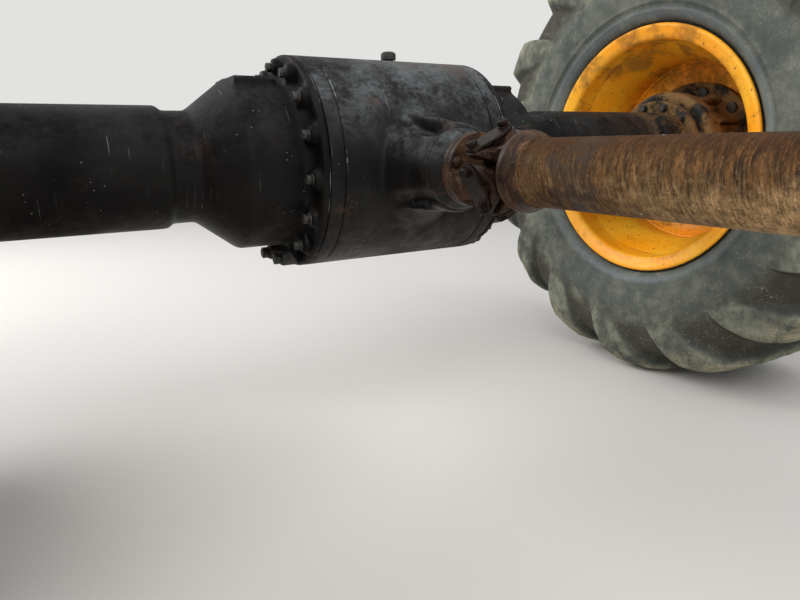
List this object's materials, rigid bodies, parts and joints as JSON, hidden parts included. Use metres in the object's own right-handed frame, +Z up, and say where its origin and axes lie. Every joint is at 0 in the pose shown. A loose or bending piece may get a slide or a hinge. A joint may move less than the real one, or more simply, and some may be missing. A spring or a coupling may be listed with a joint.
{
  "type": "drive axle of a site dumper with wheels and propshaft",
  "caption": "Rigid drive axle with wet brakes, frame pads, lugged tyres on welded rims, and a sliding propshaft with cross joints.",
  "frame": {"origin": "middle between the two frame pads, on the plane of their machined tops, where the axle bolts under the frame", "axes": "+X along the axle, +Z up out of the pads, -Y along the pinion and propshaft"},
  "size_m": [2.168, 1.783, 1.0736],
  "materials": {
    "axle_black": "black paint over cast iron, oily and dusty",
    "hub_black": "black paint over cast iron, muddy",
    "rim_orange": "worn yellow-orange paint, muddy",
    "tyre_rubber": "dusty worn rubber",
    "rusty_steel": "rusty steel with dried mud",
    "greasy_steel": "steel under dark grease"
  },
  "bodies": {
    "axle": {"centre_housing": "axle_black", "pinion_retainer": "axle_black", "brake_ring_left": "axle_black", "brake_ring_right": "axle_black", "arm_left": "axle_black", "arm_right": "axle_black", "spindle_left": "axle_black", "spindle_right": "axle_black"},
    "wheel_left": {"wheel_hub_left": "hub_black", "hub_cover_left": "hub_black", "wheel_disc_left": "rim_orange", "rim_left": "rim_orange", "tyre_left": "tyre_rubber"},
    "wheel_right": {"wheel_hub_right": "hub_black", "hub_cover_right": "hub_black", "wheel_disc_right": "rim_orange", "rim_right": "rim_orange", "tyre_right": "tyre_rubber"},
    "pinion": {"companion_flange": "rusty_steel", "front_flange_yoke": "rusty_steel", "front_flange_yoke_caps": "greasy_steel"},
    "front_cross": {"front_cross": "greasy_steel"},
    "shaft": {"tube_yoke": "rusty_steel", "tube_yoke_caps": "greasy_steel", "shaft_tube": "rusty_steel", "spline_stub": "greasy_steel"},
    "sleeve": {"sleeve_yoke": "rusty_steel", "sleeve_yoke_caps": "greasy_steel", "sleeve_seal": "greasy_steel"},
    "rear_cross": {"rear_cross": "greasy_steel"},
    "drive_end": {"rear_flange_yoke": "rusty_steel", "rear_flange_yoke_caps": "greasy_steel"}
  },
  "joints": [
    {"name": "wheel_left_spin", "type": "hinge", "parent": "axle", "child": "wheel_left", "pos_m": [-0.88, 0, -0.13], "axis": [1, 0, 0], "continuous": true},
    {"name": "wheel_right_spin", "type": "hinge", "parent": "axle", "child": "wheel_right", "pos_m": [0.88, 0, -0.13], "axis": [1, 0, 0], "continuous": true},
    {"name": "pinion_spin", "type": "hinge", "parent": "axle", "child": "pinion", "pos_m": [0, -0.294, -0.137], "axis": [0, -1, 0], "continuous": true},
    {"name": "front_joint_flange_pin", "type": "hinge", "parent": "pinion", "child": "front_cross", "pos_m": [0, -0.352, -0.137], "axis": [0.8829, 0, 0.4695], "range_deg": [-15, 15]},
    {"name": "front_joint_shaft_pin", "type": "hinge", "parent": "front_cross", "child": "shaft", "pos_m": [0, -0.352, -0.137], "axis": [-0.4695, 0, 0.8829], "range_deg": [-15, 15]},
    {"name": "sleeve_slide", "type": "slide", "parent": "shaft", "child": "sleeve", "axis": [0, -1, 0], "range_m": [-0.025, 0.035]},
    {"name": "rear_joint_sleeve_pin", "type": "hinge", "parent": "sleeve", "child": "rear_cross", "pos_m": [0, -1.188, -0.137], "axis": [-0.4695, 0, 0.8829], "range_deg": [-15, 15]},
    {"name": "rear_joint_flange_pin", "type": "hinge", "parent": "rear_cross", "child": "drive_end", "pos_m": [0, -1.188, -0.137], "axis": [0.8829, 0, 0.4695], "range_deg": [-15, 15]}
  ]
}
